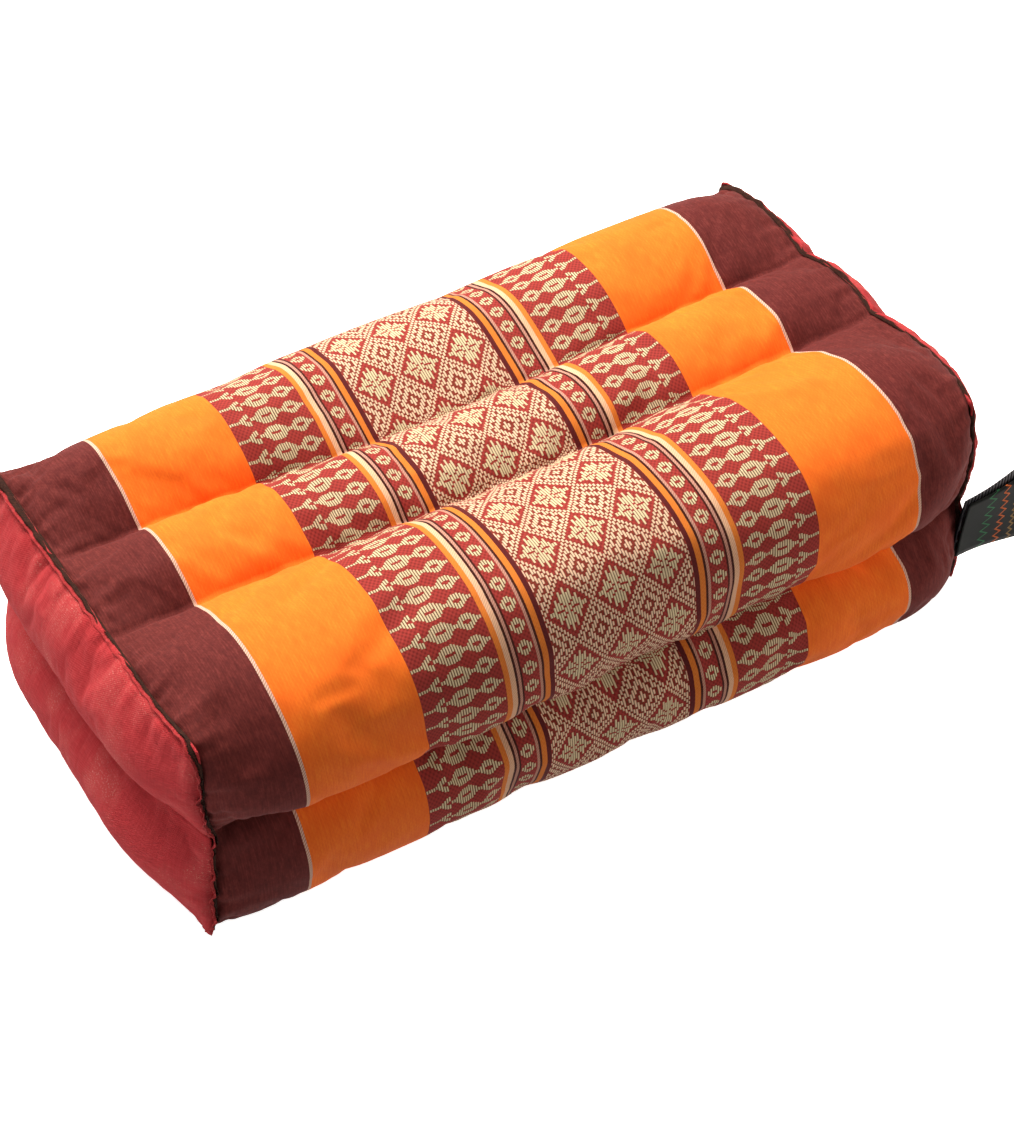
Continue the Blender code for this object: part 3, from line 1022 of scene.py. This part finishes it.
# Names the flat cloth's measures "u" and "v", in millimetres, and its thicker and thinner yarns "slub", about
# 0.5 in the middle
def addYarns(add, fine, long):
    add("map", "UVMap", settings={"uv_map": "clothMap"})
    add("parts", "SeparateXYZ", "map")
    add("u", "ADD", "parts.X", 0)
    add("v", "ADD", "parts.Y", 0)
    add("place", "CombineXYZ", "u", "v", 0)
    for name, scale in (("warpSlub", (fine, long, 1)), ("weftSlub", (long, fine, 1))):
        add(name, "TexNoise", ["VectorMath:MULTIPLY", "place", scale], 0, 1, 3, 0.6)
    add("slub", "MULTIPLY", ["ADD", "warpSlub", "weftSlub"], 0.5)


def finishMaterial(add, colour, height, depth, roughness, sheen, specular=0.12):
    add("bump", "Bump", sockets={"Height": height, "Distance": depth * mm})
    shader = add("shader", "BsdfPrincipled", sockets={
        "Base Color": colour,
        "Roughness": roughness,
        "Normal": "bump",
        "Specular IOR Level": specular,
        "Sheen Weight": sheen,
        "Sheen Roughness": 0.45,
    })
    add("output", "OutputMaterial", "shader")
    return shader


# Each thread's figure in a row, from the middle of the cloth outward: half its height and half the slit in
# its middle, in millimetres
columnFigure = [(0.6, 0), (0.8, 0), (1.5, 0), (2.3, 0), (3.0, 0.6), (3.1, 0.9), (3.0, 0.6), (2.3, 0)]
columnFigure += [(1.5, 0), (0.7, 0), (0.7, 0), (1.4, 0), (2.3, 0), (3.1, 0)] + [(3.4, 0.55)] * 4
columnFigure += [(3.1, 0), (2.3, 0), (1.4, 0)]
columnFigure += [(0.7, 0), (0.7, 0), (3.0, 0.9), (2.8, 0.5), (2.1, 0), (1.4, 0)] + [(0.6, 0)] * 5
ringFigure = [(1.1, 0), (2.2, 0), (3.0, 0.65), (3.0, 0.65), (2.2, 0), (1.1, 0)]

# A quarter of the lattice's repeat, from a flower's middle to a small diamond's, where # is a pale float.
# From fieldSum on, counting across and down, the floats are pinker and the ground behind them is darker
latticeQuarter = """
##...###..#
#.####...#.
##.##...#.#
###.#..#.#.
###...#.##.
#.#..#.#..#
#...#.##.##
...#.#..##.
..#.##.##..
.#.#..##..#
#.##.##..##
""".split()
fieldSum = 10

weave = {
    "thread": 1.065,  # one float's width, a little coarser than the real 0.85 so that it shows in the render
    "ringThread": 1.06,
    "columnThread": 1.05,
    "rowPitch": 8.6,
    "rowPhase": 9.5,
    "latticePhase": 7.1,
    "latticeRow": 1.29,
    "floatOverlap": 0.15,  # how far each lattice float runs on into the next rows
    "centreEdge": 32.0,  # band edges from the middle
    "stripesFrom": 30,
    "stripesWide": 51,
    "ringFrom": 39.45,
    "columnsFrom": 53.9,
    "orangeFrom": 87.6,
    "whiteFrom": 137.2,
    "maroonFrom": 138.5,
    "figureMost": 5.0,  # the charts give heights as shares of this
    "tableLast": 255,  # a colour ramp is a table of this many steps
}

# Narrow stripes: where each starts, its colour, and how much slanting hatch it shows
stripes = [
    (30.0, "#9A332D", 0), (32.0, "#54191B", 0), (34.15, "#D2732A", 0.15), (36.5, "#30130A", 0),
    (37.5, "#BE8A78", 0.5), (38.7, "#9A332D", 0), (46.1, "#30130A", 0), (46.8, "#BE8A78", 0.5),
    (48.0, "#2A1009", 0), (49.0, "#DDAE8C", 0.3), (51.2, "#D2732A", 0.15), (53.5, "#9A332D", 0),
]


# A chart of values, one for each whole number of threads, as a ramp that keeps each value to the next
def addChart(add, name, thread, values):
    stops = []
    for index, value in enumerate(values):
        if index == 0 or value != values[index - 1]:
            stops.append((max(0, index - 0.5) / weave["tableLast"], (*value, 1)))
    ramp = add(name + "Ramp", "ValToRGB", ["DIVIDE", ["ADD", thread, 0.5], weave["tableLast"]], stops=stops)
    ramp.color_ramp.interpolation = "CONSTANT"
    add(name, "SeparateXYZ", name + "Ramp")


# A band of figures in rows. "Float" is 1 on a pale float, and "Round" is how high its thread stands, which
# also sets the painted shade and highlight on it
def addRowFigure(add, name, chart, first, thread):
    threads, share, sizes = name + "Threads", name + "Share", name + "Sizes"
    most = weave["figureMost"]
    add(threads, "DIVIDE", ["SUBTRACT", "out", first], thread)
    addChart(add, sizes, ["FLOOR", threads], [(half / most, slit / most, 0) for half, slit in chart])
    row = ["FRACT", ["DIVIDE", ["SUBTRACT", "wovenV", weave["rowPhase"]], weave["rowPitch"]]]
    add(share, "MULTIPLY", ["ABSOLUTE", ["SUBTRACT", row, 0.5]], weave["rowPitch"] / most)
    figure = ["MULTIPLY", ["LESS_THAN", share, sizes + ".X"], ["GREATER_THAN", share, sizes + ".Y"]]
    band = ["MULTIPLY", ["GREATER_THAN", threads, 0], ["LESS_THAN", threads, len(chart)]]
    add(name + "Float", "MULTIPLY", figure, band)
    add(name + "Round", "MULTIPLY", ["PINGPONG", ["MULTIPLY", threads, 2], 1], name + "Float")


# The lattice between the bands, read twice a little apart so that its floats overlap the next rows
def addLattice(add):
    last = len(latticeQuarter) - 1
    bits = 2 ** (last + 1)
    codes = [
        sum(2 ** row for row, line in enumerate(latticeQuarter) if line[column] == "#")
        for column in range(last + 1)
    ]
    add("latticeColumn", "ROUND", ["PINGPONG", "thread", last])
    addChart(add, "latticeCode", "latticeColumn", [(code / bits,) * 3 for code in codes])
    add("latticeRows", "DIVIDE", ["SUBTRACT", "wovenV", weave["latticePhase"]], weave["latticeRow"])
    for name, overlap in (("over", weave["floatOverlap"]), ("under", -weave["floatOverlap"])):
        row = ["ROUND", ["PINGPONG", ["ROUND", ["ADD", "latticeRows", overlap]], last]]
        shifted = ["DIVIDE", ["MULTIPLY", "latticeCode.X", bits], ["POWER", 2, row]]
        add(name + "Bit", "FLOORED_MODULO", ["FLOOR", ["ADD", shifted, 0.0002]], 2)
    add("latticeIn", "LESS_THAN", "out", weave["centreEdge"])
    add("latticeFloat", "MULTIPLY", ["MAXIMUM", "overBit", "underBit"], "latticeIn")
    single = ["PINGPONG", ["MULTIPLY", "threadEdge", 2], 1]
    add("latticeRound", "MULTIPLY", ["MULTIPLY_ADD", single, 0.85, 0.15], "latticeFloat")
    fromFlower = ["ADD", "latticeColumn", ["PINGPONG", ["ROUND", "latticeRows"], last]]
    add("field", "MULTIPLY", ["GREATER_THAN", fromFlower, fieldSum - 0.5], "latticeIn")


# Cotton woven in stripes with supplementary pale floats, matt with a soft bloom: plain orange and maroon
# ends, and between them red bands whose figures stand up a little as short pale threads, with painted shade
# in the gaps between them and a painted highlight along each
def coverCloth():
    made, add = newMaterial("figuredCotton")
    addYarns(add, 1.6, 0.14)
    add("out", "ABSOLUTE", "u")
    add("threadEdge", "ADD", ["DIVIDE", "out", weave["thread"]], 0.5)
    add("thread", "FLOOR", "threadEdge")
    add("threadChance", "TexWhiteNoise", settings={"noise_dimensions": "1D"}, sockets={"W": "thread"})
    add("wovenV", "MULTIPLY_ADD", "threadChance", 0.35, "v")
    addLattice(add)
    addRowFigure(add, "ring", ringFigure, weave["ringFrom"], weave["ringThread"])
    addRowFigure(add, "column", columnFigure, weave["columnsFrom"], weave["columnThread"])
    for part in ("Float", "Round"):
        add("figure" + part, "ADD", ["ADD", "ring" + part, "column" + part], "lattice" + part)

    # The red ground's speckle, a dark dot where each thread dips
    add("dipSize", "MULTIPLY_ADD", ["MULTIPLY", wave("u", 1.9), wave("v", 2.1)], 0.5, 0.5)
    add("speckle", "MULTIPLY", ["POWER", "dipSize", 1.6], 0.75)
    add("softSpeckle", "MULTIPLY", "speckle", 0.3)
    add("twill", "MULTIPLY_ADD", wave(["MULTIPLY_ADD", "u", 0.9, "v"], 1.2), 0.5, 0.5)

    first, wide = weave["stripesFrom"], weave["stripesWide"]
    stops = [((place - first) / wide, (*linearColour(colour)[:3], hatch)) for place, colour, hatch in stripes]
    ramp = add("stripe", "ValToRGB", ["DIVIDE", ["SUBTRACT", "out", first], wide], stops=stops)
    ramp.color_ramp.interpolation = "CONSTANT"
    add("hatched", "MixRGB", ["MULTIPLY", "stripe.Alpha", "twill"], "stripe.Color", "#6E3A26")
    plain = ["GREATER_THAN", "stripe.Alpha", 0.1]
    add("ground", "MixRGB", plain, ["MixRGB", "speckle", "hatched", "#4E1512"], "hatched")

    add("mottle", "TexNoise", "place", 0, 0.45, 4, 0.6)
    add("cloudy", "TexNoise", "place", 0, 0.06, 2, 0.5)
    add("orangeYarn", "ValToRGB", "warpSlub", stops=[(0.26, "#E0641A"), (0.5, "#EC6E1E"), (0.76, "#F27E26")])
    add("orangePatch", "MapRange", "cloudy", 0.42, 0.68, 0, 0.35)
    add("orangeTone", "MixRGB", "orangePatch", ["MixRGB", "softSpeckle", "orangeYarn", "#D65414"], "#DC5614")
    stops = [(0.34, "#4C1A18"), (0.5, "#5C211E"), (0.66, "#702E29")]
    add("maroonYarn", "ValToRGB", ["MixRGB", 0.35, "warpSlub", "mottle"], stops=stops)
    add("maroonTone", "MixRGB", "softSpeckle", "maroonYarn", "#3C1412")
    add("whiteTone", "MixRGB", "twill", "#A87A68", "#DAB5A2")
    colour = "ground"
    for band in ("orange", "white", "maroon"):
        colour = ["MixRGB", ["GREATER_THAN", "out", weave[band + "From"]], colour, band + "Tone"]
    colour = ["MixRGB", ["MULTIPLY", "field", 0.55], colour, "#6E2E1E"]

    # Painted shade between the float threads, and a painted highlight where their threads stand up
    add("floatFill", "MapRange", "figureRound", 0.15, 0.65, settings={"interpolation_type": "SMOOTHSTEP"})
    add("floatTone", "MixRGB", "field", ["MixRGB", "cloudy", "#D8C9A0", "#D2B292"], "#E2BC9E")
    add("float", "MixRGB", "floatFill", "#5A3A22", "floatTone")
    add("colour", "MixRGB", "figureFloat", colour, "float")

    dipDepth = ["MULTIPLY_ADD", ["GREATER_THAN", "out", weave["orangeFrom"]], 0.25, -0.3]
    add("height", "MULTIPLY_ADD", "slub", 0.4, ["MULTIPLY_ADD", "dipSize", dipDepth, "figureRound"])
    finishMaterial(add, "colour", "height", 0.28, 0.85, 0.02)
    return made


# Plain red cotton, dyed a little unevenly and rubbed paler in patches
def panelCloth():
    made, add = newMaterial("redCotton")
    addYarns(add, 1.3, 0.12)
    add("wear", "TexNoise", "place", 0, 0.035, 3, 0.55)
    add("lint", "TexNoise", "place", 0, 1.3, 2, 0.7)
    add("redTone", "ValToRGB", "slub", stops=[(0.3, "#8E2628"), (0.5, "#A22C2F"), (0.72, "#B43A3C")])
    add("wearMost", "MapRange", "wear", 0.48, 0.7, 0, 0.6)
    add("lintMost", "MapRange", "lint", 0.56, 0.68)
    worn = ["MixRGB", "wearMost", "redTone", "#B24644"]
    add("colour", "MixRGB", ["MULTIPLY", "lintMost", "wearMost"], worn, "#CC9484")
    add("height", "MULTIPLY_ADD", ["MULTIPLY", wave("u", 0.9), wave("v", 0.9)], 0.25, "slub")
    finishMaterial(add, "colour", "height", 0.25, 0.88, 0.03)
    return made


# The cut edge of a cotton, its yarns loosened, its colours given darker than the face's
def rawCloth(name, dark, middle, light):
    made, add = newMaterial(name)
    addYarns(add, 2.2, 0.5)
    add("colour", "ValToRGB", "slub", stops=[(0.32, dark), (0.5, middle), (0.68, light)])
    finishMaterial(add, "colour", "slub", 0.5, 0.9, 0.02)
    return made


# Spun polyester sewing thread, twisted, with a slight shine
def sewingThread(name, dark, light):
    made, add = newMaterial(name)
    add("place", "TexCoord")
    add("twist", "TexWave", "place.Object", sockets={"Scale": 900.0, "Distortion": 0.5})
    add("colour", "MixRGB", "twist", dark, light)
    finishMaterial(add, "colour", "twist", 0.05, 0.55, 0.05)
    return made


# Black satin ribbon with short coloured floats. Its reverse, seen past the fold, is ribbed and greyer
def ribbonSatin():
    made, add = newMaterial("satinRibbon")
    addYarns(add, 1.8, 0.2)
    add("rib", "MULTIPLY_ADD", wave("u", 1.7), 0.5, 0.5)
    add("onReverse", "GREATER_THAN", "u", label["reverseFrom"])
    add("faceTone", "MixRGB", "slub", "#0D0F0E", "#1E201F")
    colour = ["MixRGB", "onReverse", "faceTone", ["MixRGB", "rib", "#17171A", "#77767C"]]
    for first, width, tone, pitch in label["bars"]:
        zigzag = ["MULTIPLY_ADD", ["PINGPONG", ["DIVIDE", "v", pitch], 1], width, -width / 2]
        beside = ["SUBTRACT", ["SUBTRACT", "u", first + width / 2], zigzag]
        colour = ["MixRGB", ["LESS_THAN", ["ABSOLUTE", beside], label["stroke"]], colour, tone]
    add("height", "MULTIPLY", "rib", "onReverse")
    finishMaterial(add, colour, "height", 0.3, 0.42, 0, specular=0.04)
    return made


finishes = {
    "cover": coverCloth(),
    "panel": panelCloth(),
    # The maroon edge's near-black is partly its own dark brown, partly painted shade of the groove beside the
    # seam
    "coverEdge": rawCloth("rawMaroonEdge", "#1C0D0A", "#30170F", "#452318"),
    "panelEdge": rawCloth("rawRedEdge", "#6E1C1C", "#962A2C", "#AE4040"),
    "overlock": sewingThread("overlockThread", "#20120C", "#3C2418"),
    "stitch": sewingThread("channelThread", "#35120F", "#5E2A1C"),
    "label": ribbonSatin(),
}


def dress(made, finish, slot, *nodes):
    made.data.materials.clear()
    made.data.materials.append(finishes[finish])
    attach(made, "root")
    if nodes:
        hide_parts(*nodes)


dress(coverObject, "cover", "cover_cloth", "cushion_body")
for end, made in panels.items():
    dress(made, "panel", "panel_cloth", "end_panel_" + end)
for (cloth, end), made in edgePieces.items():
    dress(made, cloth + "Edge", cloth + "_cloth")
dress(overlockObject, "overlock", None)
dress(stitchObject, "stitch", None)
dress(labelObject, "label", "label_ribbon", "label_tag")

# The photograph's viewing angle
camera = {
    "place": (-352.78, -603.80, 727.20),
    "right": (0.8512, -0.5247, -0.01137),
    "up": (0.3776, 0.5973, 0.7076),
    "lens": 73.82,
}


def addCamera():
    data = bpy.data.cameras.new("camera")
    data.lens = camera["lens"]
    data.sensor_width = 36
    made = newObject("camera", data)
    right, up = np.array(camera["right"]), np.array(camera["up"])
    columns = np.stack([right, up, np.cross(right, up), np.array(camera["place"]) * mm], 1)
    made.matrix_world = Matrix([*columns.tolist(), (0, 0, 0, 1)])
    bpy.context.scene.camera = made


room = {"floor": 6000, "wallRadius": 5900, "wallFoot": -20, "wallTop": 14000, "wallSides": 96}


# Pale paper, which glows a little in place of the light that the photograph's room gives it
def paperSheet():
    made, add = newMaterial("palePaper")
    add("place", "TexCoord")
    add("grain", "TexNoise", "place.Object", 0, 60)
    add("colour", "MixRGB", "grain", "#F3F2F0", "#F7F6F4")
    shader = finishMaterial(add, "colour", "grain", 0.02, 0.7, 0)
    shader.inputs["Emission Color"].default_value = linearColour("#FFFFFF")
    shader.inputs["Emission Strength"].default_value = 0.9
    return made


# The floor's bounce is left out, as it would light the front far more than the photograph's room does. The
# wall behind, for the low views, is seen by the camera alone, so it lights and shades nothing
def addRoom():
    paper = paperSheet()
    reach = room["floor"]
    floor = [(-reach, -reach, 0), (reach, -reach, 0), (reach, reach, 0), (-reach, reach, 0)]
    turns = np.arange(room["wallSides"]) * 2 * np.pi / room["wallSides"]
    ring = room["wallRadius"] * np.stack([np.cos(turns), np.sin(turns)], 1)
    wall = [(x, y, z) for z in (room["wallFoot"], room["wallTop"]) for x, y in ring]
    for name, points, faces, unseen in (
        ("paleFloor", floor, [(0, 1, 2, 3)], ["diffuse"]),
        ("paleBackdrop", wall, gridFaces(2, len(ring)), ["diffuse", "glossy", "transmission", "shadow"]),
    ):
        made = meshObject(name, points, faces)
        made.data.materials.append(paper)
        for way in unseen:
            setattr(made, "visible_" + way, False)


def addLight(name, place, target, size, power, colour):
    data = bpy.data.lights.new(name, "AREA")
    data.shape = "DISK"
    data.size = size
    data.energy = power
    data.color = linearColour(colour)[:3]
    made = newObject(name, data)
    made.location = place
    made.rotation_euler = (Vector(place) - Vector(target)).to_track_quat("Z", "Y").to_euler()


addCamera()
addRoom()
addLight("key", (0.06, 0.88, 1.36), (0, 0, 0.05), 1.5, 79, "#FFFDF6")
addLight("fill", (0.7, -0.5, 0.3), (0, 0, 0.05), 0.5, 4.2, "#FFF4EA")
addLight("left", (-1.3, -0.12, 0.16), (-0.17, 0, 0.05), 0.8, 9.6, "#FFFFFF")
world = bpy.data.worlds.new("studio")
world.use_nodes = True
world.node_tree.nodes.clear()
add = partial(addNode, world.node_tree)
add("way", "TexCoord")
add("ways", "SeparateXYZ", "way.Generated")
add("light", "Background", ["MixRGB", ["GREATER_THAN", "ways.Z", 0], "#BFBBB6", "#1A1A1A"], 0.95)
add("output", "OutputWorld", "light")
bpy.context.scene.world = world
bpy.context.scene.view_settings.view_transform = "Standard"

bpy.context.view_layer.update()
report("scene made in")
